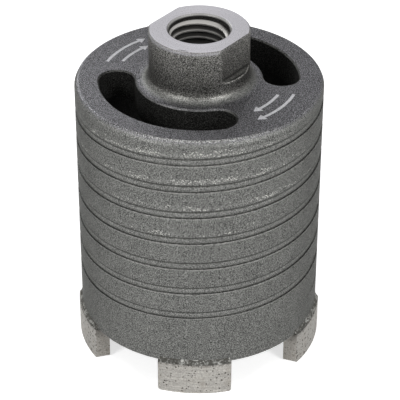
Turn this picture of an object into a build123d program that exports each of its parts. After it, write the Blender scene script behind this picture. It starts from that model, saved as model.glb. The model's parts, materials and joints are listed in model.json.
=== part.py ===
from build123d import *
import math
import os

# Diamond core bit for dry drilling, standing on its cutting segments.
# Millimetres, +Z up, origin on the axis in the plane of the segments' cutting faces.

# Cutting segments
cutting_diameter = 68.0
segment_count = 5
segment_length = 20.0
segment_height = 9.5
segment_corner_radius = 0.8
first_segment_angle = -92.0

# Overhang of a segment past the tube's wall, which gives the tube its running clearance
outside_relief = 0.85
inside_relief = 0.55

# Tube and top plate
tube_wall = 2.2
tube_length = 70.0
plate_thickness = 8.4
plate_edge_radius = 1.5
plate_edge_bevels = 3
inner_corner_chamfer = 2.0

# Hub with its threaded bore and two spanner flats
spanner_width = 24.0
flat_depth = 1.4
hub_height = 14.8
hub_root_reach = 3.0
hub_edge_chamfer = 0.4
thread_diameter = 16.0
bore_chamfer = 0.6
flat_height = 10.0
flat_foot_radius = 0.8
ledge_edge_chamfer = 0.25
flats_angle = -37.4

# Kidney slots through the top plate, one on each side of the hub
slot_count = 2
slot_width = 9.6
slot_sweep = 100.6
slot_land = 0.65
slot_edge_chamfer = 0.4

# Helical dust groove round the tube
groove_lead = 8.0
groove_width = 2.1
groove_depth = 0.3
groove_start_height = 8.3
groove_start_angle = -34.0
groove_run_out = 45.0
groove_end_gap = 0.3

# Braze metal between the tube's rim and each segment
braze_gap = 0.3
braze_toe_inset = 0.2
braze_end_inset = 0.3
braze_outer_climb = 1.1
braze_inner_climb = 0.6

# Room by which a cutting tool passes the surface that it starts or ends on
tool_overrun = 1.0

# Derived radii
cutting_radius = cutting_diameter / 2
tube_radius = cutting_radius - outside_relief
tube_inner_radius = tube_radius - tube_wall
segment_inner_radius = tube_inner_radius - inside_relief
hub_radius = spanner_width / 2 + flat_depth
thread_radius = thread_diameter / 2
slot_mid_radius = hub_radius + hub_root_reach + slot_land + slot_width / 2
groove_floor_radius = tube_radius - groove_depth

# Derived heights
tube_rim = segment_height + braze_gap
plate_top = tube_rim + tube_length
plate_underside = plate_top - plate_thickness
hub_top = plate_top + hub_height
flat_ledge = hub_top - flat_height


def ring_edges(builder, radius, height):
    """Circular edges of one radius whose centre lies at one height on the axis."""
    return (
        builder.edges()
        .filter_by(GeomType.CIRCLE)
        .filter_by(lambda edge: abs(edge.radius - radius) < 0.01)
        .filter_by(lambda edge: abs(edge.arc_center.Z - height) < 0.01)
    )


def radial_plane(angle, height=0.0):
    """Horizontal plane on the axis whose X direction points outwards at an angle."""
    return Plane(
        origin=(0, 0, height),
        x_dir=(math.cos(math.radians(angle)), math.sin(math.radians(angle)), 0),
        z_dir=(0, 0, 1),
    )


def groove_section(path):
    """Plane square to the start of a path round the axis, with X pointing outwards."""
    start = path @ 0
    return Plane(origin=start, x_dir=(start.X, start.Y, 0), z_dir=path % 0)


def edge_corner(index):
    """Radius and height of one corner of the narrow bevels that round the plate's outer edge."""
    step = math.radians(90 / (plate_edge_bevels + 1))
    reach = plate_edge_radius / math.cos(step / 2)
    turn = (index + 0.5) * step
    return (
        tube_radius - plate_edge_radius + reach * math.cos(turn),
        plate_top - plate_edge_radius + reach * math.sin(turn),
    )


# Cup body: hub, top plate and tube in one piece
with BuildPart() as cup_body:
    # Turned form
    with BuildSketch(Plane.XZ):
        with BuildLine():
            hub_root = Bezier(
                (hub_radius, plate_top + hub_root_reach),
                (hub_radius, plate_top),
                (hub_radius + hub_root_reach, plate_top),
            )
            Polyline(
                hub_root @ 0,
                (hub_radius, hub_top),
                (thread_radius, hub_top),
                (thread_radius, plate_underside),
                (tube_inner_radius, plate_underside),
                (tube_inner_radius, tube_rim),
                (tube_radius, tube_rim),
                (tube_radius, plate_top),
                hub_root @ 1,
            )
        make_face()
    revolve(axis=Axis.Z)
    chamfer(ring_edges(cup_body, tube_inner_radius, plate_underside), inner_corner_chamfer)
    chamfer(ring_edges(cup_body, thread_radius, plate_underside), bore_chamfer)

    # Spanner flats, which end on a ledge above the round foot of the hub
    with BuildSketch(radial_plane(flats_angle, flat_ledge)):
        Rectangle(2 * hub_radius + tool_overrun, 2 * hub_radius + tool_overrun)
        Rectangle(spanner_width, 2 * hub_radius + tool_overrun, mode=Mode.SUBTRACT)
    extrude(amount=flat_height + tool_overrun, mode=Mode.SUBTRACT)
    fillet(
        cup_body.edges()
        .filter_by(GeomType.LINE)
        .filter_by(Plane.XY)
        .filter_by(lambda edge: abs(edge.center().Z - flat_ledge) < 0.01),
        flat_foot_radius,
    )
    chamfer(ring_edges(cup_body, hub_radius, flat_ledge), ledge_edge_chamfer)

    # Top face of the hub, with one chamfer round its outside and one at the bore's mouth
    hub_face = cup_body.faces().sort_by(Axis.Z)[-1]
    chamfer(hub_face.outer_wire().edges(), hub_edge_chamfer)
    chamfer(ring_edges(cup_body, thread_radius, hub_top), bore_chamfer)

    # Kidney slots, centred between the flats
    for number in range(slot_count):
        slot_angle = flats_angle + 90 + number * 360 / slot_count
        with BuildSketch(radial_plane(slot_angle, plate_top)):
            with BuildLine(mode=Mode.PRIVATE) as slot_centre_line:
                CenterArc((0, 0), slot_mid_radius, -slot_sweep / 2, slot_sweep)
            SlotArc(slot_centre_line.edge(), slot_width)
        extrude(amount=-plate_thickness - tool_overrun, mode=Mode.SUBTRACT)
        chamfer(cup_body.edges(Select.LAST).group_by(Axis.Z)[-1], slot_edge_chamfer)

    # Dust groove: a run-out that deepens to the full depth, then full turns up to the plate
    run_out_rise = groove_lead * groove_run_out / 360
    run_out_slope = math.atan2(groove_depth, run_out_rise)
    with BuildLine() as run_out_helix:
        Helix(
            pitch=groove_lead / math.cos(run_out_slope),
            height=run_out_rise,
            radius=tube_radius,
            center=(0, 0, tube_rim + groove_start_height),
            cone_angle=-math.degrees(run_out_slope),
        )
    run_out_path = run_out_helix.edge().rotate(Axis.Z, groove_start_angle)
    with BuildSketch(groove_section(run_out_path)):
        Rectangle(tool_overrun, groove_width, align=(Align.MIN, Align.MAX))
    sweep(path=run_out_path, is_frenet=True, mode=Mode.SUBTRACT)

    groove_turns_start = tube_rim + groove_start_height + run_out_rise
    with BuildLine() as groove_helix:
        Helix(
            pitch=groove_lead,
            height=plate_top - groove_end_gap - groove_turns_start,
            radius=groove_floor_radius,
            center=(0, 0, groove_turns_start),
        )
    groove_path = groove_helix.edge().rotate(Axis.Z, groove_start_angle + groove_run_out)
    with BuildSketch(groove_section(groove_path)):
        Rectangle(groove_depth + tool_overrun, groove_width, align=(Align.MIN, Align.MAX))
    sweep(path=groove_path, is_frenet=True, mode=Mode.SUBTRACT)

    # Outer edge of the plate, rounded after the groove has run through it
    edge_corners = [edge_corner(index) for index in range(plate_edge_bevels + 1)]
    with BuildSketch(Plane.XZ):
        with BuildLine():
            Polyline(
                *edge_corners,
                (edge_corners[-1][0], plate_top + tool_overrun),
                (tube_radius + tool_overrun, plate_top + tool_overrun),
                (tube_radius + tool_overrun, edge_corners[0][1]),
                close=True,
            )
        make_face()
    revolve(axis=Axis.Z, mode=Mode.SUBTRACT)

# Files
os.makedirs("parts", exist_ok=True)
cup_body.part.label = "cup_body"
export_step(cup_body.part, "parts/cup_body.step")

for number in range(segment_count):
    angle = first_segment_angle + number * 360 / segment_count

    # Diamond segment: curved to the tube, with square ends
    with BuildPart() as segment:
        with BuildSketch(radial_plane(angle)):
            Circle(cutting_radius)
            Circle(segment_inner_radius, mode=Mode.SUBTRACT)
            Rectangle(
                cutting_radius + tool_overrun,
                segment_length,
                align=(Align.MIN, Align.CENTER),
                mode=Mode.INTERSECT,
            )
        extrude(amount=segment_height)
        end_edges = segment.edges().filter_by(GeomType.LINE).group_by(Axis.Z)[0]
        fillet(end_edges, segment_corner_radius)
    segment.part.label = f"segment_{number + 1}"
    export_step(segment.part, f"parts/segment_{number + 1}.step")

    # Braze metal: a thin layer under the rim that climbs the wall on both overhangs
    with BuildPart() as braze_seam:
        with BuildSketch(Plane.XZ):
            with BuildLine():
                Polyline(
                    (tube_inner_radius, tube_rim + braze_inner_climb),
                    (tube_inner_radius, tube_rim),
                    (tube_radius, tube_rim),
                    (tube_radius, tube_rim + braze_outer_climb),
                )
                outer_toe = (cutting_radius - braze_toe_inset, segment_height)
                inner_toe = (segment_inner_radius + braze_toe_inset, segment_height)
                Line((tube_radius, tube_rim + braze_outer_climb), outer_toe)
                Line(outer_toe, inner_toe)
                Line(inner_toe, (tube_inner_radius, tube_rim + braze_inner_climb))
            make_face()
        revolve(axis=Axis.Z)
        with BuildSketch(radial_plane(angle)):
            Rectangle(
                cutting_radius + tool_overrun,
                segment_length - 2 * braze_end_inset,
                align=(Align.MIN, Align.CENTER),
            )
        extrude(amount=plate_top, mode=Mode.INTERSECT)
    braze_seam.part.label = f"braze_seam_{number + 1}"
    export_step(braze_seam.part, f"parts/braze_seam_{number + 1}.step")
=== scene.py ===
"""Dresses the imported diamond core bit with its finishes, its fine pieces and a stage."""
import json
import math

import bmesh
import bpy
from bpy.props import FloatProperty, FloatVectorProperty, IntProperty, PointerProperty
from mathutils import Matrix, Vector


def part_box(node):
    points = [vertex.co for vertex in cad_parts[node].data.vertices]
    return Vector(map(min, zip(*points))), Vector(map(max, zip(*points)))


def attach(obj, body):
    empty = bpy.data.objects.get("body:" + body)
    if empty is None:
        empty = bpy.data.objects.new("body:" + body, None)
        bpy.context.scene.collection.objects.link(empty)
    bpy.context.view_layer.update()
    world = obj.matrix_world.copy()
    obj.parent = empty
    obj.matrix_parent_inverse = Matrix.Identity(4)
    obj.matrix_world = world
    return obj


bl_info = {
    "name": "Diamond core bit",
    "version": (1, 0, 0),
    "blender": (4, 5, 0),
    "location": "View3D > Sidebar > Core bit",
    "description": "Finishes, fine pieces and stage of a diamond core bit",
    "category": "Object",
}

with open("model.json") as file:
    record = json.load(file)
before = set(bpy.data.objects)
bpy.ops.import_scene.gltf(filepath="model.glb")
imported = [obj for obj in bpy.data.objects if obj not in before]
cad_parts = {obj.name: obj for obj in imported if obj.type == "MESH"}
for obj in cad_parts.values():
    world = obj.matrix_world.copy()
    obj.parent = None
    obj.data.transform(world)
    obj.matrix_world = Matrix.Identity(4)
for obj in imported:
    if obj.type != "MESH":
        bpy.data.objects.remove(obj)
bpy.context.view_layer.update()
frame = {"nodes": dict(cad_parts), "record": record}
mounts = {mount["name"]: mount for mount in frame["record"]["mounts"]}
cup_low, cup_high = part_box("cup_body")
segments = sorted(name for name in frame["nodes"] if name.startswith("segment_"))
seams = sorted(name for name in frame["nodes"] if name.startswith("braze_seam_"))

# The materials measure in millimetres and degrees, everything else is in metres and radians
MM = 1000.0
FULL_TURN = 360.0


# What a user may change

def length(name, description, default):
    """A length in metres that a user may change."""
    return FloatProperty(
        name=name, description=description, default=default, min=0.0, precision=5, unit="LENGTH"
    )


def turn(name, description, degrees):
    """An angle that a user may change, given here in degrees."""
    return FloatProperty(
        name=name, description=description, default=math.radians(degrees), unit="ROTATION"
    )


def colour(name, description, default):
    """A colour that a user may change."""
    limits = {"min": 0.0, "max": 1.0}
    return FloatVectorProperty(
        name=name, description=description, default=default, size=3, subtype="COLOR", **limits
    )


class CoreBitSizes(bpy.types.PropertyGroup):
    """Sizes of the core bit and of the pieces added to it."""

    hub_top: length("Hub top", "Height of the hub's turned top face", cup_high.z)
    plate_top: length("Plate top", "Height of the top plate's upper face", 0.0798)
    plate_underside: length("Plate underside", "Height of the top plate's lower face", 0.0714)
    tube_rim: length("Tube rim", "Height of the rim that carries the segments", cup_low.z)
    tube_radius: length("Tube radius", "Outer radius of the tube", cup_high.x)
    hub_radius: length("Hub radius", "Radius of the hub's round sides", 0.0134)
    spanner_width: length("Spanner width", "Distance between the two flats", 0.024)
    flat_ledge: length("Flat ledge", "Height of the ledge under the flats", 0.0846)
    slot_radius: length("Slot radius", "Middle radius of the kidney slots", 0.02185)
    slot_width: length("Slot width", "Width of the kidney slots", 0.0096)
    flats_angle: turn("Flats angle", "Direction that the first spanner flat faces", -37.4)
    thread_radius: length(
        "Thread radius", "Outer radius of the thread", mounts["drive_thread"]["dims"]["r_mm"] / MM
    )
    thread_pitch: length("Thread pitch", "Distance between two turns of the thread", 0.002)
    thread_depth: length("Thread depth", "Depth of the thread", 0.00108)
    groove_lead: length("Groove lead", "Rise of the dust groove in one turn", 0.008)
    groove_width: length("Groove width", "Width of the dust groove", 0.0021)
    groove_start: length("Groove start", "Height where the dust groove starts", 0.0181)
    groove_angle: turn("Groove angle", "Direction in which the dust groove starts", -34.0)
    segment_angle: turn("Segment angle", "Direction of the first segment's middle", -92.0)
    segment_length: length("Segment length", "Length of a segment along the rim", 0.02)
    segment_height: length("Segment height", "Height of a segment", 0.0095)
    bead_size: length("Bead size", "Largest radius of a bead of braze metal", 0.00026)
    grain_size: length("Grain size", "Largest radius of a diamond grain", 0.00024)
    burr_size: length("Burr size", "Largest radius of a fleck of burr over the groove", 0.00017)
    segment_count: IntProperty(
        name="Segments", description="Number of segments on the rim", default=len(segments), min=1
    )


class CoreBitColours(bpy.types.PropertyGroup):
    """Colours of the core bit's metals."""

    blasted_steel: colour("Blasted steel", "Shot-blasted steel of the tube", (0.134, 0.135, 0.129))
    plate_steel: colour("Plate steel", "Smoother steel of the top plate", (0.120, 0.119, 0.125))
    hub_steel: colour("Hub steel", "Coarser forged steel of the hub", (0.125, 0.123, 0.116))
    turned_steel: colour("Turned steel", "Bright turned face of the hub", (0.525, 0.515, 0.545))
    bore_steel: colour("Bore steel", "Cut steel of the bore", (0.30, 0.297, 0.29))
    # Worn bare steel, also used for painted highlights on edges
    worn_and_highlight_steel: colour("Worn steel and highlight", "Bare steel on worn edges, also used for painted highlights", (0.46, 0.46, 0.44))
    burr_steel: colour("Burr steel", "Torn steel over the groove", (0.43, 0.43, 0.40))
    # Dark forging skin, darkened further with painted shade for the slots and the inside of the
    # tube
    dark_skin_and_shade: colour("Dark skin and shade", "Forging skin in the slots and inside, darkened with painted shade", (0.016, 0.016, 0.015))
    # Painted shade for the groove's corners and the foot of the flats
    corner_shade: colour("Corner shade", "Painted shade in the corners of the groove and at the foot of the flats", (0.030, 0.030, 0.028))
    thread_steel: colour("Thread steel", "Freshly cut thread", (0.48, 0.47, 0.45))
    # Painted shade in the roots of the thread
    thread_root_shade: colour("Thread root shade", "Painted shade in the roots of the thread", (0.022, 0.021, 0.020))
    segment_metal: colour("Segment metal", "Sintered bond of the segments", (0.402, 0.387, 0.360))
    segment_ends: colour("Segment ends", "Browner skin on the segments' ends", (0.37, 0.35, 0.32))
    braze_metal: colour("Braze metal", "Silver solder in the joints", (0.34, 0.34, 0.32))
    flux: colour("Flux", "Burnt flux between the beads of solder", (0.050, 0.047, 0.040))
    diamond: colour("Diamond", "Diamond grains", (0.16, 0.15, 0.10))
    etched_mark: colour("Etched mark", "Etched turning arrows", (0.58, 0.58, 0.60))


# Node trees, written as sums

class Field:
    """A value that changes from point to point. Each sum on it becomes a node of its tree."""

    def __init__(self, tree, socket):
        self.tree, self.socket = tree, socket

    def __add__(self, other):
        return calc("ADD", self, other)

    def __sub__(self, other):
        return calc("SUBTRACT", self, other)

    def __rsub__(self, other):
        return calc("SUBTRACT", other, self)

    def __mul__(self, other):
        return calc("MULTIPLY", self, other)

    def __truediv__(self, other):
        return calc("DIVIDE", self, other)

    def __rtruediv__(self, other):
        return calc("DIVIDE", other, self)

    def __pow__(self, other):
        return calc("POWER", self, other)

    def __abs__(self):
        return calc("ABSOLUTE", self)


def fill(node, links):
    """Gives a node's inputs their values or links."""
    for key, value in links.items():
        if isinstance(value, Field):
            value.tree.links.new(value.socket, node.inputs[key])
        else:
            node.inputs[key].default_value = value


def put(tree, kind, links=None, **settings):
    """Adds a node, gives it its settings, then fills its inputs."""
    node = tree.nodes.new(kind)
    for name, value in settings.items():
        setattr(node, name, value)
    fill(node, links or {})
    return node


def field(tree, kind, links=None, output=0, **settings):
    """One output of a new node."""
    return Field(tree, put(tree, kind, links, **settings).outputs[output])


def home(*values):
    """The tree that the fields among some values are in."""
    return next(value.tree for value in values if isinstance(value, Field))


def calc(operation, *values):
    """The result of one sum on fields and plain numbers."""
    return field(home(*values), "ShaderNodeMath", dict(enumerate(values)), operation=operation)


def vector_calc(operation, *values, output=0):
    """The result of one sum on vectors."""
    links = dict(enumerate(values))
    return field(home(*values), "ShaderNodeVectorMath", links, output, operation=operation)


def shade(base, factor):
    """A colour or vector made stronger or weaker by a factor."""
    links = {0: base, "Scale": factor}
    return field(home(base, factor), "ShaderNodeVectorMath", links, operation="SCALE")


def join(tree, x=0.0, y=0.0, z=0.0):
    """A vector from its three parts."""
    return field(tree, "ShaderNodeCombineXYZ", {0: x, 1: y, 2: z})


def split(vector):
    """The three parts of a vector."""
    parts = put(vector.tree, "ShaderNodeSeparateXYZ", {0: vector}).outputs
    return [Field(vector.tree, part) for part in parts]


def ramp(value, start, end):
    """0 before start and 1 after end, with a smooth change between them."""
    links = {"Value": value, "From Min": start, "From Max": end}
    return field(value.tree, "ShaderNodeMapRange", links, interpolation_type="SMOOTHSTEP")


def between(value, low, high, soft):
    """1 from low to high and 0 outside, with soft edges."""
    half = soft / 2
    return ramp(value, low - half, low + half) * ramp(value, high + half, high - half)


def blend(factor, first, second):
    """The first colour with the second laid over it."""
    links = {0: factor, 6: first, 7: second}
    for key in (6, 7):
        if not isinstance(links[key], Field):
            links[key] = (*links[key], 1.0)
    return field(factor.tree, "ShaderNodeMix", links, 2, data_type="RGBA", clamp_factor=True)


def lay(result, layers):
    """A colour with layers laid over it from the first to the last, each with its mask."""
    for mask, layer in layers:
        result = blend(mask, result, layer)
    return result


def noise(point, scale, detail, roughness=0.5):
    """Cloudy noise round 0.5."""
    links = {"Vector": point, "Scale": scale, "Detail": detail, "Roughness": roughness}
    return field(point.tree, "ShaderNodeTexNoise", links)


def cells(point, scale):
    """Distance to the middle of a random cell, and two numbers that belong to that cell."""
    tree = point.tree
    outputs = put(tree, "ShaderNodeTexVoronoi", {"Vector": point, "Scale": scale}).outputs
    chosen = put(tree, "ShaderNodeSeparateColor", {0: Field(tree, outputs["Color"])}).outputs
    return Field(tree, outputs["Distance"]), Field(tree, chosen[0]), Field(tree, chosen[1])


def socket_type(name, default=0.0):
    """The kind of a group's input or output."""
    number = "NodeSocketInt" if isinstance(default, int) else "NodeSocketFloat"
    return {"Geometry": "NodeSocketGeometry", "Point": "NodeSocketVector"}.get(name, number)


def group(name, inputs, kind="ShaderNodeTree"):
    """An empty node group with named inputs, and the fields that they give."""
    tree = bpy.data.node_groups.new(name, kind)
    for key, default in inputs.items():
        made = tree.interface.new_socket(key, in_out="INPUT", socket_type=socket_type(key, default))
        if default is not None:
            made.default_value = default
    sockets = tree.nodes.new("NodeGroupInput").outputs
    return tree, {key: Field(tree, sockets[key]) for key in inputs}


def give(tree, results):
    """Gives a node group its named outputs, and returns the group."""
    for key in results:
        tree.interface.new_socket(key, in_out="OUTPUT", socket_type=socket_type(key))
    put(tree, "NodeGroupOutput", results)
    return tree


def use(tree, name, maker, links=None):
    """Places a group, which is made once and then shared, and returns its outputs by name."""
    shared = bpy.data.node_groups.get(name) or maker(name)
    outputs = put(tree, "ShaderNodeGroup", node_tree=shared).outputs
    fill(outputs[0].node, links or {})
    return {output.name: Field(tree, output) for output in outputs}


# Shader groups

def place_group(name):
    """Where a point is round the axis: millimetres and degrees."""
    tree, _ = group(name, {})
    point = shade(field(tree, "ShaderNodeTexCoord", output="Object"), MM)
    x, y, height = split(point)
    radius = calc("SQRT", x ** 2.0 + y ** 2.0)
    angle = calc("DEGREES", calc("ARCTAN2", y, x))
    return give(tree, {"Point": point, "Radius": radius, "Height": height, "Angle": angle})


def grain_group(name):
    """Fine grain of shot-blasted or sintered metal: a tone round 1 and a height."""
    inputs = {"Point": None, "Grains per mm": 2.5, "Contrast": 0.3, "Sparkle": 0.3}
    tree, given = group(name, inputs)
    point, grains = given["Point"], given["Grains per mm"]
    fine = noise(point, grains, detail=2.0, roughness=0.6)
    cloudy = noise(point, 0.11, detail=4.0, roughness=0.55)
    distance, chosen, _ = cells(point, grains * 0.9)
    speck = ramp(distance, 0.36, 0.12) * ramp(chosen, 0.80, 0.92)
    swing = (fine - 0.5) * given["Contrast"] * 4.0
    tone = swing + (cloudy - 0.5) * 0.30 + 1.0 + speck * given["Sparkle"]
    return give(tree, {"Tone": calc("MAXIMUM", tone, 0.25), "Height": fine + speck * 0.25})


def rings_group(name):
    """Turning marks: fine rings round the axis, uneven in strength."""
    tree, given = group(name, {"Radius": 0.0, "Angle": 0.0, "Rings per mm": 6.0})
    point = join(tree, given["Radius"] * given["Rings per mm"], given["Angle"] * 0.006)
    fine = noise(point, 1.0, detail=2.0, roughness=0.6)
    return give(tree, {"Tone": (fine - 0.5) * 0.32 + 1.0, "Height": fine})


def worn_group(name):
    """Breaks a mask up into worn patches."""
    inputs = {"Point": None, "Mask": 1.0, "Patches per mm": 1.2, "Cover": 0.5}
    tree, given = group(name, inputs)
    patches = noise(given["Point"], given["Patches per mm"], detail=4.0, roughness=0.7)
    low = (1.0 - given["Cover"]) * 0.5 + 0.2
    return give(tree, {"Mask": given["Mask"] * ramp(patches, low, low + 0.12)})


def groove_group(name):
    """Masks that follow the dust groove: its floor, its corners and the steel just outside it."""
    inputs = {
        "Height": 0.0,
        "Angle": 0.0,
        "Lead": 8.0,
        "Width": 2.1,
        "Start Height": 18.1,
        "Start Angle": -34.0,
    }
    tree, given = group(name, inputs)
    lead = given["Lead"]
    part_turn = calc("FRACT", (given["Angle"] - given["Start Angle"]) / FULL_TURN)
    turns = (given["Height"] - given["Start Height"]) / lead - part_turn
    above = calc("FRACT", turns) * lead
    below = lead - above
    over = above - given["Width"]

    # The groove deepens at its start
    deep = ramp(turns, -0.06, 0.0) * ramp(calc("FLOOR", turns) + part_turn * 4.0, 0.0, 0.6)
    masks = {
        "Floor": ramp(above, 0.0, 0.12) * ramp(over, 0.0, -0.12),
        "Lower Corner": ramp(above, 1.00, 0.05),
        "Upper Corner": ramp(over, -0.70, -0.35) * ramp(over, 0.20, 0.05),
        "Lower Lip": ramp(below, 0.60, 0.25),
        "Upper Lip": ramp(over, 0.40, 0.75) * ramp(over, 2.00, 1.10),
    }
    return give(tree, {key: mask * deep for key, mask in masks.items()})


def grain(place, grains, contrast, sparkle):
    """The grain of a metal: its tone and its height."""
    point = place["Point"]
    links = {"Point": point, "Grains per mm": grains, "Contrast": contrast, "Sparkle": sparkle}
    return use(point.tree, "Metal grain", grain_group, links)


def rings(radius, angle, rings_per_mm):
    """Turning marks: their tone and their height."""
    links = {"Radius": radius, "Angle": angle, "Rings per mm": rings_per_mm}
    return use(radius.tree, "Turning marks", rings_group, links)


def worn(place, mask, patches, cover):
    """A mask broken up into worn patches."""
    point = place["Point"]
    links = {"Point": point, "Mask": mask, "Patches per mm": patches, "Cover": cover}
    return use(point.tree, "Worn patches", worn_group, links)["Mask"]


# Materials

def metal(name, base, metallic, roughness):
    """A new material with a plain metal shader, and where a point is on the part."""
    made = bpy.data.materials.new(name)
    made.use_nodes = True
    made.diffuse_color = (*base, 1.0)
    shader = made.node_tree.nodes["Principled BSDF"]
    settings = {
        "Base Color": (*base, 1.0),
        "Metallic": metallic,
        "Roughness": roughness,
        "Specular Tint": (0.35, 0.35, 0.35, 1.0),
    }
    fill(shader, settings)
    return made, shader, use(made.node_tree, "Place round the axis", place_group)


def raise_bump(shader, height, distance, strength):
    """Bump on a shader from a height, with its depth in metres."""
    links = {"Height": height, "Distance": distance, "Strength": strength}
    fill(shader, {"Normal": field(height.tree, "ShaderNodeBump", links)})


def cup_masks(sizes, place, raggedness):
    """Where the parts of the cup are: masks, with their borders in millimetres past a surface."""
    point, radius, height = place["Point"], place["Radius"], place["Height"]
    over_plate = height - sizes.plate_top * MM
    over_underside = height - sizes.plate_underside * MM
    over_hub = height - sizes.hub_top * MM
    over_ledge = height - sizes.flat_ledge * MM
    past_tube = radius - sizes.tube_radius * MM
    past_hub = radius - sizes.hub_radius * MM
    past_thread = radius - sizes.thread_radius * MM
    slot_inner = (sizes.slot_radius - sizes.slot_width / 2) * MM
    slot_outer = (sizes.slot_radius + sizes.slot_width / 2) * MM
    slot_band = between(radius, slot_inner - 0.5, slot_outer + 0.5, 0.2)
    plate_thickness = (sizes.plate_top - sizes.plate_underside) * MM
    facing = (math.cos(sizes.flats_angle), math.sin(sizes.flats_angle), 0.0)
    to_flat = vector_calc("DOT_PRODUCT", point, facing, output="Value")
    past_flat = abs(to_flat) - sizes.spanner_width * MM / 2

    # The turned top face, and the rounded steel under its edge where the turning runs out; the
    # run-out is weaker just under the edge, painted shade that damps the lamps' glare on the
    # chamfer
    top_face = ramp(over_hub, -0.12, -0.02)
    run_out = ramp(over_hub + (raggedness - 0.5) * 0.7, -1.45, -0.45)
    run_out = run_out * (0.45 - ramp(over_hub, -0.44, -0.36) * 0.27)
    run_out = run_out * (ramp(past_flat, -0.05, -0.8) * 0.85 + 0.15)
    in_bore = ramp(past_thread, 0.75, 0.55) * ramp(over_hub, 0.0, -0.1)
    foot_of_flat = ramp(past_flat, -0.3, 0.05) * between(over_ledge, -0.04, 1.3, 0.06)
    return {
        "wall": ramp(past_tube, -0.7, -0.6) * ramp(over_plate, -0.4, -1.4),
        "plate": ramp(over_plate, -0.9, -0.2) * ramp(past_hub, 1.0, 2.8),
        "plate edge": between(over_plate, -1.5, -0.15, 0.5) * ramp(past_tube, -1.6, -1.0),
        # Painted highlight: a thin line on the plate's rounded edge
        "painted edge highlight": between(past_tube, -1.25, -0.62, 0.14) * ramp(over_plate, -0.4, -0.3),
        "hub": ramp(over_plate, 0.2, 2.0) * ramp(past_hub, 3.0, 1.2),
        "hub side": ramp(over_hub, -0.5, -1.2),
        "top face": top_face,
        "turned": calc("MAXIMUM", top_face, run_out),
        "foot of flat": foot_of_flat * ramp(past_hub, -0.18, -0.30),
        "bore": in_bore,
        "thread root": in_bore * ramp(past_thread, 0.24, 0.04),
        "slot": between(over_underside, -0.3, plate_thickness - 0.40, 0.3) * slot_band,
        "slot rim": between(over_plate, -0.48, -0.03, 0.06) * slot_band,
        "outer slot rim": ramp(radius, slot_inner + 0.2, slot_inner + 1.2),
        "inside": ramp(past_tube, -1.2, -2.1) * ramp(over_underside, 0.2, -0.1),
        "tube rim": ramp(past_tube, -2.6, -1.8) * ramp(height - sizes.tube_rim * MM, 0.25, 0.05),
        "upper turns": ramp(over_plate, -32.0, -10.0),
    }


def hub_nick(sizes, place):
    """Mask of a dark nick on the front of the hub's top edge, long along it and narrow across."""
    middle = (-4.1, -12.1, sizes.hub_top * MM)
    edge_turn = math.radians(18.7)
    narrowing = (0.42, 3.2, 1.5)
    point = vector_calc("SUBTRACT", place["Point"], middle)
    links = {"Vector": point, "Angle": edge_turn}
    turned = field(point.tree, "ShaderNodeVectorRotate", links, rotation_type="Z_AXIS")
    distance = vector_calc("LENGTH", vector_calc("MULTIPLY", turned, narrowing), output="Value")
    return ramp(distance, 0.75, 0.35)


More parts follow.
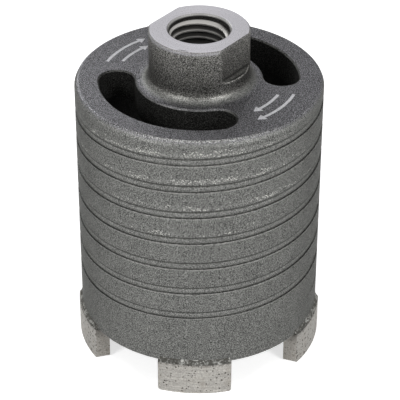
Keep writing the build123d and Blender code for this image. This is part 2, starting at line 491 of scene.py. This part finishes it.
def cup_steel(sizes, colours):
    """Steel of the cup: blasted tube, smoother plate, coarser hub, bright top face, dark slots;
    painted shade and painted highlights are laid in its colour.
    """
    base = colours.blasted_steel
    made, shader, place = metal("forged_steel", base, metallic=0.9, roughness=0.45)
    tree, angle = made.node_tree, place["Angle"]
    fine = grain(place, grains=3.9, contrast=1.55, sparkle=0.50)
    coarse = grain(place, grains=4.1, contrast=2.80, sparkle=1.00)
    marks = rings(place["Radius"], angle, rings_per_mm=3.2)
    on = cup_masks(sizes, place, coarse["Height"])
    nick = hub_nick(sizes, place)
    links = {
        "Height": place["Height"],
        "Angle": angle,
        "Lead": sizes.groove_lead * MM,
        "Width": sizes.groove_width * MM,
        "Start Height": sizes.groove_start * MM,
        "Start Angle": math.degrees(sizes.groove_angle),
    }
    groove = use(tree, "Groove masks", groove_group, links)
    groove = {key: mask * on["wall"] for key, mask in groove.items()}
    across = abs(calc("COSINE", calc("RADIANS", angle)))
    # Share of the painted highlight on the groove's lips: full at the front and back, faint at the
    # sides
    front_back_highlight = 1.0 - ramp(across, 0.45, 0.85) * 0.8
    uneven = ramp(fine["Height"], 0.42, 0.58) * 0.50 + 0.62
    lower_lip = worn(place, groove["Lower Lip"], patches=1.8, cover=0.60)
    upper_lip = worn(place, groove["Upper Lip"] * on["upper turns"], patches=2.2, cover=0.50)

    # Colour, from the bottom layer to the top one: where a layer is and how well it covers
    bare_and_highlight, corner_shade = colours.worn_and_highlight_steel, colours.corner_shade
    # skin: the forging skin's dark colour together with painted shade
    skin = shade(colours.dark_skin_and_shade, coarse["Tone"] ** 1.3)
    floor = tuple(1.25 * channel for channel in base)
    # Painted highlight: the turned face is lighter at the front and back than at the sides
    turned = shade(colours.turned_steel, marks["Tone"] * (1.08 - across * 0.11))
    layers = (
        (on["plate"], shade(colours.plate_steel, coarse["Tone"])),
        (on["hub"], shade(colours.hub_steel, coarse["Tone"])),
        # Painted shade inside the tube and in the slots, over their forging skin
        (on["inside"] * 0.85, skin),
        (on["slot"], skin),
        (groove["Floor"] * 0.50, shade(floor, coarse["Tone"])),
        # Painted shade in the groove's corners: a wide soft line in the lower corner and a darker
        # narrow one under the upper lip
        (groove["Lower Corner"] * uneven * 0.36, corner_shade),
        (groove["Upper Corner"] * uneven * 0.84, corner_shade),
        # Worn steel on the groove's lips, partly real wear and partly painted highlight on their
        # edges
        (lower_lip * front_back_highlight * 0.30, bare_and_highlight),
        (upper_lip * front_back_highlight * 0.26, bare_and_highlight),
        # Painted shade on the slots' rims, darker towards the outer rim; over it, worn bare steel
        # that also stands for a thin painted highlight
        (on["slot rim"] * (on["outer slot rim"] * 0.42 + 0.50), skin),
        (worn(place, on["slot rim"], patches=1.4, cover=0.60) * 0.10, bare_and_highlight),
        (worn(place, on["plate edge"], patches=2.0, cover=0.50) * 0.16, bare_and_highlight),
        # Painted highlight on the plate's rounded edge, only at the front and back
        (on["painted edge highlight"] * ramp(across, 0.75, 0.15) * 0.44, shade(bare_and_highlight, coarse["Tone"])),
        (worn(place, on["tube rim"], patches=1.0, cover=0.55) * 0.45, bare_and_highlight),
        # Painted shade in the corner at the foot of the flats
        (on["foot of flat"] * 0.72, corner_shade),
        (on["turned"], turned),
        (on["bore"], shade(colours.bore_steel, marks["Tone"])),
        # Painted shade in the roots of the bore's thread
        (on["thread root"] * 0.80, (0.040, 0.039, 0.038)),
        (nick * 0.80, (0.05, 0.05, 0.048)),
    )
    result = lay(shade(base, fine["Tone"]), layers)

    # Gloss and relief
    rough = 0.48 - on["top face"] * 0.14 - on["hub"] * on["hub side"] * 0.05
    rough = rough - groove["Floor"] * 0.08 + on["slot"] * 0.15 + (fine["Tone"] - 1.0) * 0.10
    rough = calc("MAXIMUM", rough - on["bore"] * 0.15, 0.2)
    metallic = 0.92 - calc("MAXIMUM", on["slot"], on["inside"]) * 0.35
    fill(shader, {"Base Color": result, "Roughness": rough, "Metallic": metallic})
    relief = blend(on["hub"], fine["Height"], coarse["Height"]) * (1.0 - on["turned"])
    relief = relief + marks["Height"] * on["turned"] * 0.12 - nick * 1.5
    raise_bump(shader, relief, distance=0.00009, strength=0.55)
    return made


def segment_metal(sizes, colours):
    """Sintered metal of the segments: ground outside, browner ends, pits where grains broke out."""
    base = colours.segment_metal
    made, shader, place = metal("sintered_segment", base, metallic=0.30, roughness=0.55)
    tree, point, radius, angle = made.node_tree, place["Point"], place["Radius"], place["Angle"]
    fine = grain(place, grains=2.6, contrast=0.34, sparkle=0.15)
    under_seam = place["Height"] - sizes.segment_height * MM

    # Distance along the rim from the middle of the nearest segment
    step = FULL_TURN / sizes.segment_count
    from_first = angle - (math.degrees(sizes.segment_angle) - step / 2)
    folded = calc("FRACT", from_first / step) * step - step / 2
    along = radius * calc("SINE", calc("RADIANS", folded))
    half = sizes.segment_length * MM / 2
    end_face = ramp(abs(along), half - 0.10, half - 0.02)
    sideways = abs(radius * calc("COSINE", calc("RADIANS", angle)))
    # Painted shade: the segments at the left and right are darker than those at the front and back,
    # and their pits a little larger
    side_shade = ramp(sideways, 8.0, 30.0)

    # Grinding marks along the segment, and dark pits
    stretched = join(tree, along * 0.07, place["Height"], radius * 0.6)
    streaks = noise(stretched, 2.1, detail=4.0, roughness=0.6)
    distance, chosen, larger = cells(point, 1.2)
    size = larger * 0.13 + 0.22 + side_shade * 0.05
    pit = calc("LESS_THAN", distance, size) * ramp(chosen, 0.48, 0.50) * (1.0 - end_face * 0.6)

    # Colour, from the bottom layer to the top one
    ground = shade(shade(base, fine["Tone"]), (streaks - 0.5) * 1.15 + 1.0)
    cloud = ramp(noise(point, 0.35, detail=3.0), 0.48, 0.70)
    end_stain = end_face * ramp(under_seam, -3.4, -0.8)
    seam_stain = worn(place, ramp(under_seam, -0.9, -0.1), patches=0.9, cover=0.55)
    layers = (
        # Painted shade on the side segments
        (side_shade * 0.32, (0.25, 0.24, 0.22)),
        (end_face * 0.85, shade(colours.segment_ends, fine["Tone"])),
        (cloud * 0.35, (0.30, 0.27, 0.23)),
        (pit * 0.90, (0.045, 0.038, 0.030)),
        (end_stain * 0.50, (0.11, 0.108, 0.098)),
        (seam_stain * 0.55, (0.11, 0.105, 0.095)),
    )
    rough = (streaks - 0.5) * 0.25 + 0.50 + end_face * 0.15
    fill(shader, {"Base Color": lay(ground, layers), "Roughness": rough})
    relief = fine["Height"] + streaks * 0.6 - pit * 1.2
    raise_bump(shader, relief, distance=0.00007, strength=0.6)
    return made


def braze_finish(name, base, flux_colour, metallic, roughness, dirt):
    """Silver solder: dull and grey, with dark flux left between its beads."""
    made, shader, place = metal(name, base, metallic, roughness)
    fine = grain(place, grains=1.7, contrast=0.45, sparkle=0.6)
    flux = worn(place, mask=1.0, patches=0.75, cover=dirt)
    result = blend(flux * 0.85, shade(base, fine["Tone"]), flux_colour)
    fill(shader, {"Base Color": result, "Roughness": flux * 0.3 + roughness})
    raise_bump(shader, fine["Height"], distance=0.00016, strength=0.8)
    return made


def thread_steel(sizes, colours):
    """Cut steel of the thread: bright on the crest, with painted shade at the root and down the
    bore.
    """
    base = colours.thread_steel
    made, shader, place = metal("thread_steel", base, metallic=0.95, roughness=0.22)
    under_top = place["Height"] - sizes.hub_top * MM
    side = calc("COSINE", calc("RADIANS", place["Angle"]))
    # Painted shade in the roots, reaching wider further down the bore and narrower on the first
    # turn except at the right
    deeper_shade = ramp(under_top, -2.4, -5.0) * 0.50 + ramp(under_top, -6.0, -9.0) * 0.35
    first_turn = between(under_top, -3.35, -1.6, 0.3) * ramp(side, 0.98, 0.55)
    past_thread = place["Radius"] + deeper_shade - first_turn * 0.55 - sizes.thread_radius * MM
    root = ramp(past_thread, -0.80, -0.15)
    marks = rings(place["Height"], place["Angle"], rings_per_mm=7.0)
    layers = (
        # Painted shade on the right side of the bore, damping the lamp's glare there
        (ramp(side, 0.55, 0.92) * 0.55, (0.15, 0.147, 0.14)),
        (root * 0.93, colours.thread_root_shade),
    )
    result = lay(shade(base, marks["Tone"]), layers)
    fill(shader, {"Base Color": result, "Roughness": root * 0.10 + 0.47})
    raise_bump(shader, marks["Height"], distance=0.00003, strength=0.5)
    return made


def diamond_finish(colours):
    """Diamond grains: olive and grey stones, glossy, no two quite alike."""
    base, darkest = colours.diamond, (0.055, 0.050, 0.042)
    made, shader, place = metal("diamond_grain", base, metallic=0.0, roughness=0.16)
    _, chosen, _ = cells(place["Point"], 0.9)
    fill(shader, {"Base Color": blend(chosen, base, darkest), "IOR": 2.0})
    return made


def grained_finish(name, base, metallic, roughness, grains, contrast, sparkle):
    """Plain metal with the grain of the steel around it."""
    made, shader, place = metal(name, base, metallic, roughness)
    tone = grain(place, grains, contrast, sparkle)["Tone"]
    fill(shader, {"Base Color": shade(base, tone)})
    return made


# Geometry trees

def new_object(name, data):
    """An object at the origin in the scene."""
    made = bpy.data.objects.new(name, data)
    bpy.context.scene.collection.objects.link(made)
    return made


def grow(name, tree, values, base=None):
    """Runs a geometry tree with its inputs set, and keeps the result as a plain mesh."""
    host = new_object(name, base or bpy.data.meshes.new(name + "_base"))
    modifier = host.modifiers.new("Shape", "NODES")
    modifier.node_group = tree
    known = {
        item.name: item.identifier
        for item in tree.interface.items_tree
        if item.in_out == "INPUT"
    }
    for key, value in values.items():
        modifier[known[key]] = value
    graph = bpy.context.evaluated_depsgraph_get()
    mesh = bpy.data.meshes.new_from_object(host.evaluated_get(graph))
    host.modifiers.remove(modifier)
    host.data = mesh
    mesh.name = name
    if not len(mesh.polygons):
        raise RuntimeError(f"{name} came out empty")
    return host


def finish_tree(geometry, material, smooth):
    """Ends a geometry tree: shading, real meshes and the material."""
    tree = geometry.tree
    links = {"Geometry": geometry, "Shade Smooth": smooth}
    geometry = field(tree, "GeometryNodeSetShadeSmooth", links)
    geometry = field(tree, "GeometryNodeRealizeInstances", {"Geometry": geometry})
    links = {"Geometry": geometry, "Material": material}
    return give(tree, {"Geometry": field(tree, "GeometryNodeSetMaterial", links)})


def chance(low, high, seed):
    """A random number for each point, always the same for one seed."""
    links = {2: low, 3: high, "Seed": seed}
    return field(seed.tree, "FunctionNodeRandomValue", links, 1, data_type="FLOAT")


def ball(tree, subdivisions):
    """A round body of radius 1."""
    links = {"Radius": 1.0, "Subdivisions": subdivisions}
    return field(tree, "GeometryNodeMeshIcoSphere", links)


def scatter(points, body, scale, spin, keep=True):
    """A body on every point that is kept."""
    links = {"Points": points, "Selection": keep, "Instance": body, "Scale": scale}
    return field(points.tree, "GeometryNodeInstanceOnPoints", {**links, "Rotation": spin})


SPIRAL_INPUTS = {
    "Radius": 0.008,
    "Pitch": 0.002,
    "Turns": 10.0,
    "Start Height": 0.0,
    "Start Angle": 0.0,
}


def spiral(tree, given, points):
    """A right-handed curve that climbs round the axis at one radius."""
    links = {
        "Reverse": True,
        "Resolution": points,
        "Rotations": given["Turns"],
        "Start Radius": given["Radius"],
        "End Radius": given["Radius"],
        "Height": given["Turns"] * given["Pitch"],
    }
    curve = field(tree, "GeometryNodeCurveSpiral", links)
    lift, spin = join(tree, z=given["Start Height"]), join(tree, z=given["Start Angle"])
    links = {"Geometry": curve, "Translation": lift, "Rotation": spin}
    placed = field(tree, "GeometryNodeTransform", links)
    return field(tree, "GeometryNodeSetCurveNormal", {"Curve": placed}, mode="Z_UP")


def thread_tree(material):
    """The thread's ridge: a four-sided section swept up the bore, fading out at both ends."""
    inputs = {**SPIRAL_INPUTS, "Depth": 0.001, "Fade": 0.06}
    tree, given = group("Thread ridge", inputs, "GeometryNodeTree")
    curve = spiral(tree, given, 96)

    # Size of the section along the curve
    smallest = 0.05
    factor = field(tree, "GeometryNodeSplineParameter", output="Factor")
    links = {"Value": factor, "From Max": given["Fade"], "To Min": smallest}
    rising = field(tree, "ShaderNodeMapRange", links)
    links = {"Value": factor, "From Min": 1.0 - given["Fade"], "To Min": 1.0, "To Max": smallest}
    falling = field(tree, "ShaderNodeMapRange", links)

    # Section: wide at the foot, which is sunk in the bore's wall, and narrow at the tip
    foot, tip = given["Pitch"] * 0.44, given["Pitch"] * 0.09
    reach, sunk = given["Depth"] * -1.0, given["Depth"] * 0.08
    corners = ((sunk, foot), (reach, tip), (reach, tip * -1.0), (sunk, foot * -1.0))
    links = {f"Point {index + 1}": join(tree, *corner) for index, corner in enumerate(corners)}
    section = field(tree, "GeometryNodeCurvePrimitiveQuadrilateral", links, mode="POINTS")
    size = calc("MINIMUM", rising, falling)
    links = {"Curve": curve, "Profile Curve": section, "Scale": size, "Fill Caps": True}
    return finish_tree(field(tree, "GeometryNodeCurveToMesh", links), material, False)


def burr_tree(material):
    """The burr: small bright flecks in patches along a band above the groove's upper edge."""
    inputs = {**SPIRAL_INPUTS, "Flecks": 3000, "Band": 0.001, "Size": 0.0001, "Seed": 3}
    tree, given = group("Groove burr", inputs, "GeometryNodeTree")
    seed = given["Seed"]
    links = {"Curve": spiral(tree, given, 90), "Count": given["Flecks"]}
    points = field(tree, "GeometryNodeCurveToPoints", links, "Points")
    climb = chance(0.0, 1.0, seed) ** 1.3
    links = {"Geometry": points, "Offset": join(tree, z=climb * given["Band"])}
    points = field(tree, "GeometryNodeSetPosition", links)
    position = field(tree, "GeometryNodeInputPosition")
    x, y, z = split(position)

    # Patches, thinner towards the band's upper edge and the lower turns, and thinner towards the
    # back, so that the bright flecks paint a highlight at the front
    stretched = vector_calc("MULTIPLY", position, (1.0, 1.0, 4.0))
    links = {"Vector": stretched, "W": seed, "Scale": 170.0, "Detail": 3.0}
    patch = field(tree, "ShaderNodeTexNoise", links, noise_dimensions="4D")
    backwards = y / given["Radius"] + 1.0
    risen = (z - given["Start Height"]) / (given["Turns"] * given["Pitch"])
    limit = climb * 0.14 + 0.40 + backwards * 0.26 + (1.0 - risen) * 0.10
    keep = calc("GREATER_THAN", patch, limit)

    # Flecks, flat on the tube
    size = given["Size"] * chance(0.4, 1.0, seed + 2.0)
    spin = join(tree, z=calc("ARCTAN2", y, x))
    flecks = scatter(points, ball(tree, 1), join(tree, size * 0.4, size * 1.3, size), spin, keep)
    return finish_tree(flecks, material, False)


def beads_tree(material):
    """Beads of solder along the joint of every segment, uneven in size and place."""
    inputs = {
        "Segments": 5,
        "Beads": 30,
        "First Angle": 0.0,
        "Length": 0.02,
        "Radius": 0.033,
        "Height": 0.01,
        "Spread": 0.0004,
        "Lean": 0.5,
        "Size": 0.0003,
        "Seed": 5,
    }
    tree, given = group("Braze beads", inputs, "GeometryNodeTree")
    beads, seed = given["Beads"], given["Seed"]

    # Place of a bead: which joint it is on, how far along, and how far up the slope of the fillet
    index = field(tree, "GeometryNodeInputIndex")
    joint = calc("FLOOR", index / beads)
    along = calc("MODULO", index, beads) / beads + chance(-0.03, 0.03, seed) - 0.48
    angle = given["First Angle"] + joint * (math.tau / given["Segments"])
    angle = angle + along * (given["Length"] / given["Radius"])
    rise = chance(-1.0, 1.0, seed + 7.0) * given["Spread"]
    radius = given["Radius"] - rise * given["Lean"]
    x, y = radius * calc("COSINE", angle), radius * calc("SINE", angle)
    position = join(tree, x, y, given["Height"] + rise)
    links = {"Count": given["Segments"] * beads, "Position": position, "Radius": 1.0}
    points = field(tree, "GeometryNodePoints", links)

    # Many small beads and a few large ones
    size = (chance(0.0, 1.0, seed + 11.0) ** 2.0 * 0.65 + 0.35) * given["Size"]
    scale = join(tree, size, size * chance(1.0, 1.9, seed + 13.0), size)
    return finish_tree(scatter(points, ball(tree, 2), scale, join(tree, z=angle)), material, True)


def grit_tree(material):
    """Diamond grains sunk in the segments' faces, with none underneath."""
    inputs = {
        "Geometry": None,
        "Grains per square metre": 200000.0,
        "Size": 0.0002,
        "Sunk Share": 0.78,
        "Lowest": 0.0004,
        "Highest": 0.009,
        "Seed": 8,
    }
    tree, given = group("Diamond grit", inputs, "GeometryNodeTree")
    seed = given["Seed"]
    links = {"Mesh": given["Geometry"], "Density": given["Grains per square metre"], "Seed": seed}
    outputs = put(tree, "GeometryNodeDistributePointsOnFaces", links).outputs
    points, normal = Field(tree, outputs["Points"]), Field(tree, outputs["Normal"])
    height = split(field(tree, "GeometryNodeInputPosition"))[2]
    above = calc("GREATER_THAN", height, given["Lowest"])
    keep = above * calc("LESS_THAN", height, given["Highest"])
    size = given["Size"] * chance(0.45, 1.0, seed + 3.0)
    inward = shade(normal, size * (given["Sunk Share"] * -1.0))
    sunk = field(tree, "GeometryNodeSetPosition", {"Geometry": points, "Offset": inward})
    full_turn = (6.3, 6.3, 6.3)
    spin = field(tree, "FunctionNodeRandomValue", {1: full_turn}, data_type="FLOAT_VECTOR")
    return finish_tree(scatter(sunk, ball(tree, 1), size, spin, keep), material, False)


# Turning arrows

def arrow_outline(radius, start, end, width):
    """A curved arrow on the plate: the two sides of its shaft and the three corners of its head."""
    head_length, head_reach = 2.6 * width, 1.6 * width
    neck = end - math.copysign(head_length / radius, end - start)
    steps = 28

    def corner(reach, angle):
        return reach * math.cos(angle), reach * math.sin(angle)

    angles = [start + (neck - start) * index / steps for index in range(steps + 1)]
    outer = [corner(radius + width / 2, angle) for angle in angles]
    inner = [corner(radius - width / 2, angle) for angle in angles]
    head = ((radius + head_reach, neck), (radius, end), (radius - head_reach, neck))
    return outer, inner, [corner(*place) for place in head]


def arrows_mesh(sizes):
    """Thin curved turning arrows, two on each land between the slots."""
    mesh = bmesh.new()
    width, thickness = 0.00085, 0.00003
    levels = (sizes.plate_top - thickness, sizes.plate_top + thickness / 2)
    for middle in (sizes.flats_angle, sizes.flats_angle + math.pi):
        for radius, half in ((0.0262, math.radians(18)), (0.0224, math.radians(14))):
            outline = arrow_outline(radius, middle + half, middle - half, width)
            rims = []
            for is_top, level in enumerate(levels):
                outer, inner, head = (
                    [mesh.verts.new((*corner, level)) for corner in line] for line in outline
                )
                faces = list(zip(outer, outer[1:], inner[1:], inner))
                faces.append((*head, inner[-1], outer[-1]))
                for face in faces:
                    mesh.faces.new(face if is_top else face[::-1])
                rims.append(outer + head + inner[::-1])
            low, high = rims
            for index, corner in enumerate(low):
                mesh.faces.new((low[index - 1], corner, high[index], high[index - 1]))
    bmesh.ops.recalc_face_normals(mesh, faces=mesh.faces)
    return plain_mesh("turning_arrows", mesh)


def plain_mesh(name, built):
    """Keeps a mesh that was built face by face."""
    made = bpy.data.meshes.new(name)
    built.to_mesh(made)
    built.free()
    return made


# Steps

def carry(piece):
    """Lets a finished piece ride on the bit's one body."""
    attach(piece, "root")


def coat(names, material):
    """Gives some CAD nodes their material."""
    for name in names:
        slots = frame["nodes"][name].data.materials
        slots.clear()
        slots.append(material)


class COREBIT_OT_finish_cup(bpy.types.Operator):
    """Give the cup body its forged, blasted and turned steel"""

    bl_idname = "core_bit.finish_cup"
    bl_label = "Finish cup body"

    def execute(self, context):
        scene = context.scene
        coat(["cup_body"], cup_steel(scene.core_bit_sizes, scene.core_bit_colours))
        return {"FINISHED"}


class COREBIT_OT_finish_segments(bpy.types.Operator):
    """Give the segments their sintered metal"""

    bl_idname = "core_bit.finish_segments"
    bl_label = "Finish segments"

    def execute(self, context):
        scene = context.scene
        coat(segments, segment_metal(scene.core_bit_sizes, scene.core_bit_colours))
        return {"FINISHED"}


class COREBIT_OT_set_diamonds(bpy.types.Operator):
    """Set diamond grains into the segments"""

    bl_idname = "core_bit.set_diamonds"
    bl_label = "Set diamond grains"

    def execute(self, context):
        sizes = context.scene.core_bit_sizes
        faces = bmesh.new()
        for name in segments:
            faces.from_mesh(frame["nodes"][name].data)
        bmesh.ops.remove_doubles(faces, verts=faces.verts, dist=0.000001)
        tree = grit_tree(diamond_finish(context.scene.core_bit_colours))
        clear_of_seam = 0.0003
        values = {"Size": sizes.grain_size, "Highest": sizes.segment_height - clear_of_seam}
        grit = grow("diamond_grit", tree, values, plain_mesh("segment_faces", faces))
        carry(grit)
        return {"FINISHED"}


class COREBIT_OT_braze_segments(bpy.types.Operator):
    """Finish the braze seams and lay beads of solder along them"""

    bl_idname = "core_bit.braze_segments"
    bl_label = "Braze segments"

    def execute(self, context):
        sizes, colours = context.scene.core_bit_sizes, context.scene.core_bit_colours
        base, flux, rim = colours.braze_metal, colours.flux, sizes.tube_rim
        seam = braze_finish("braze_metal", base, flux, metallic=0.45, roughness=0.50, dirt=0.62)
        coat(seams, seam)
        duller = tuple(0.74 * channel for channel in base)
        bead = braze_finish("braze_bead", duller, flux, metallic=0.6, roughness=0.52, dirt=0.42)
        tree = beads_tree(bead)
        end_inset = 0.0003
        for name, radius, height, lean, beads, seed in (
            ("braze_beads_outer", sizes.tube_radius + 0.00036, rim + 0.0002, 0.45, 58, 5),
            ("braze_beads_inner", sizes.tube_radius - 0.00250, rim + 0.0001, -0.35, 30, 23),
        ):
            values = {
                "Segments": sizes.segment_count,
                "Beads": beads,
                "First Angle": sizes.segment_angle,
                "Length": sizes.segment_length - 2 * end_inset,
                "Radius": radius,
                "Height": height,
                "Spread": 0.00062,
                "Lean": lean,
                "Size": sizes.bead_size,
                "Seed": seed,
            }
            carry(grow(name, tree, values))
        return {"FINISHED"}


class COREBIT_OT_cut_thread(bpy.types.Operator):
    """Run the thread's ridge up the bore"""

    bl_idname = "core_bit.cut_thread"
    bl_label = "Cut thread"

    def execute(self, context):
        sizes = context.scene.core_bit_sizes
        material = thread_steel(sizes, context.scene.core_bit_colours)
        over_underside, under_top = 0.0002, 0.0016
        low, high = sizes.plate_underside + over_underside, sizes.hub_top - under_top
        values = {
            "Radius": sizes.thread_radius,
            "Pitch": sizes.thread_pitch,
            "Turns": (high - low) / sizes.thread_pitch,
            "Start Height": low,
            "Depth": sizes.thread_depth,
            "Fade": 0.04,
        }
        carry(grow("drive_thread_ridge", thread_tree(material), values))
        return {"FINISHED"}


class COREBIT_OT_raise_burr(bpy.types.Operator):
    """Raise the burr over the upper turns of the dust groove"""

    bl_idname = "core_bit.raise_burr"
    bl_label = "Raise burr"

    def execute(self, context):
        sizes, colours = context.scene.core_bit_sizes, context.scene.core_bit_colours
        material = grained_finish(
            "burr_steel", colours.burr_steel,
            metallic=0.5, roughness=0.40, grains=2.0, contrast=0.5, sparkle=0.4,
        )
        first_turn, over_edge, band, under_plate = 3.0, 0.0005, 0.0019, 0.0016
        start = sizes.groove_start + first_turn * sizes.groove_lead + sizes.groove_width + over_edge
        values = {
            "Radius": sizes.tube_radius,
            "Pitch": sizes.groove_lead,
            "Turns": (sizes.plate_top - under_plate - band - start) / sizes.groove_lead,
            "Start Height": start,
            "Start Angle": sizes.groove_angle,
            "Flecks": 6000,
            "Band": band,
            "Size": sizes.burr_size,
        }
        carry(grow("groove_burr", burr_tree(material), values))
        return {"FINISHED"}


class COREBIT_OT_etch_arrows(bpy.types.Operator):
    """Etch plain turning arrows on the lands between the slots"""

    bl_idname = "core_bit.etch_arrows"
    bl_label = "Etch turning arrows"

    def execute(self, context):
        colours = context.scene.core_bit_colours
        arrows = new_object("turning_arrows", arrows_mesh(context.scene.core_bit_sizes))
        finish = grained_finish(
            "etched_mark", colours.etched_mark,
            metallic=0.2, roughness=0.6, grains=2.3, contrast=0.25, sparkle=0.1,
        )
        arrows.data.materials.append(finish)
        carry(arrows)
        return {"FINISHED"}


def lamp(name, place, size, watts, tint=(1.0, 1.0, 1.0)):
    """A soft square lamp that looks at the middle of the bit."""
    middle = Vector((0.0, 0.0, 0.045))
    data = bpy.data.lights.new(name, "AREA")
    data.shape = "SQUARE"
    data.size = size
    data.energy = watts
    data.color = tint
    made = new_object(name, data)
    made.location = place
    made.rotation_euler = (middle - Vector(place)).to_track_quat("-Z", "Y").to_euler()


def is_backdrop_ray(tree):
    """1 for rays that show the background: seen, mirrored or through glass."""
    rays = put(tree, "ShaderNodeLightPath").outputs
    kinds = ("Is Camera Ray", "Is Glossy Ray", "Is Transmission Ray")
    seen, mirrored, through = (Field(tree, rays[kind]) for kind in kinds)
    return calc("MAXIMUM", calc("MAXIMUM", seen, mirrored), through)


def paper():
    """Pale paper for the floor. Its glow makes it white for the camera, and the shadow stays."""
    made = bpy.data.materials.new("floor")
    made.use_nodes = True
    tree = made.node_tree
    tree.nodes.remove(tree.nodes["Principled BSDF"])
    matt = field(tree, "ShaderNodeBsdfDiffuse", {"Color": (0.80, 0.80, 0.80, 1.0)})
    links = {"Color": (1.0, 1.0, 1.0, 1.0), "Strength": is_backdrop_ray(tree) * 0.68}
    glow = field(tree, "ShaderNodeEmission", links)
    glowing_paper = field(tree, "ShaderNodeAddShader", {0: matt, 1: glow})
    fill(tree.nodes["Material Output"], {"Surface": glowing_paper})
    return made


class COREBIT_OT_build_stage(bpy.types.Operator):
    """Lay the floor, set the lamps and place the camera"""

    bl_idname = "core_bit.build_stage"
    bl_label = "Build stage"

    def execute(self, context):
        scene = context.scene
        scene.view_settings.view_transform = "Standard"
        sheet = bmesh.new()
        bmesh.ops.create_grid(sheet, x_segments=1, y_segments=1, size=3.0)
        floor = new_object("floor", plain_mesh("floor", sheet))
        floor.data.materials.append(paper())

        # White backdrop, dimmer for the light that it throws on the bit
        scene.world = bpy.data.worlds.new("studio")
        scene.world.use_nodes = True
        tree = scene.world.node_tree
        links = {"Color": (1.0, 1.0, 1.0, 1.0), "Strength": is_backdrop_ray(tree) * 0.75 + 0.25}
        sky = field(tree, "ShaderNodeBackground", links)
        fill(tree.nodes["World Output"], {"Surface": sky})

        bluish = (0.98, 0.99, 1.0)
        lamp("left_softbox", (-0.43, -0.43, 0.42), size=0.22, watts=2.25)
        lamp("right_softbox", (0.43, -0.45, 0.42), size=0.22, watts=2.45)
        lamp("rear_softbox", (-0.16, 0.26, 0.26), size=0.12, watts=0.35, tint=bluish)

        # Camera at the photograph's angle: it looks down on the bit, with a slight roll
        looks_down, rolls = 33.391, 0.0022
        data = bpy.data.cameras.new("camera")
        data.sensor_width = 36.0
        data.lens = 168.13
        data.clip_start = 0.01
        camera = new_object("camera", data)
        camera.location = (0.00027, -0.4314, 0.3253)
        tilt = Matrix.Rotation(math.radians(90.0 - looks_down), 4, "X")
        roll = Matrix.Rotation(rolls, 4, "Z")
        camera.rotation_euler = (tilt @ roll).to_euler()
        scene.camera = camera
        return {"FINISHED"}


STEPS = (
    COREBIT_OT_finish_cup,
    COREBIT_OT_finish_segments,
    COREBIT_OT_set_diamonds,
    COREBIT_OT_braze_segments,
    COREBIT_OT_cut_thread,
    COREBIT_OT_raise_burr,
    COREBIT_OT_etch_arrows,
    COREBIT_OT_build_stage,
)


class COREBIT_PT_steps(bpy.types.Panel):
    """The steps that dress the core bit, with its sizes and colours"""

    bl_label = "Diamond core bit"
    bl_idname = "COREBIT_PT_steps"
    bl_space_type = "VIEW_3D"
    bl_region_type = "UI"
    bl_category = "Core bit"

    def draw(self, context):
        for step in STEPS:
            self.layout.operator(step.bl_idname)
        for values in (context.scene.core_bit_sizes, context.scene.core_bit_colours):
            box = self.layout.box()
            for name in values.__annotations__:
                box.prop(values, name)


CLASSES = (CoreBitSizes, CoreBitColours, *STEPS, COREBIT_PT_steps)


def register():
    """Makes the steps, the panel and the values known to Blender."""
    for made in CLASSES:
        bpy.utils.register_class(made)
    bpy.types.Scene.core_bit_sizes = PointerProperty(type=CoreBitSizes)
    bpy.types.Scene.core_bit_colours = PointerProperty(type=CoreBitColours)


def unregister():
    """Takes them away again."""
    del bpy.types.Scene.core_bit_colours
    del bpy.types.Scene.core_bit_sizes
    for made in reversed(CLASSES):
        bpy.utils.unregister_class(made)


def main():
    """Dresses the bit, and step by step."""
    register()
    bpy.ops.core_bit.finish_cup()
    bpy.ops.core_bit.finish_segments()
    bpy.ops.core_bit.set_diamonds()
    bpy.ops.core_bit.braze_segments()
    bpy.ops.core_bit.cut_thread()
    bpy.ops.core_bit.raise_burr()
    bpy.ops.core_bit.etch_arrows()
    bpy.ops.core_bit.build_stage()


if __name__ == "__main__":
    main()
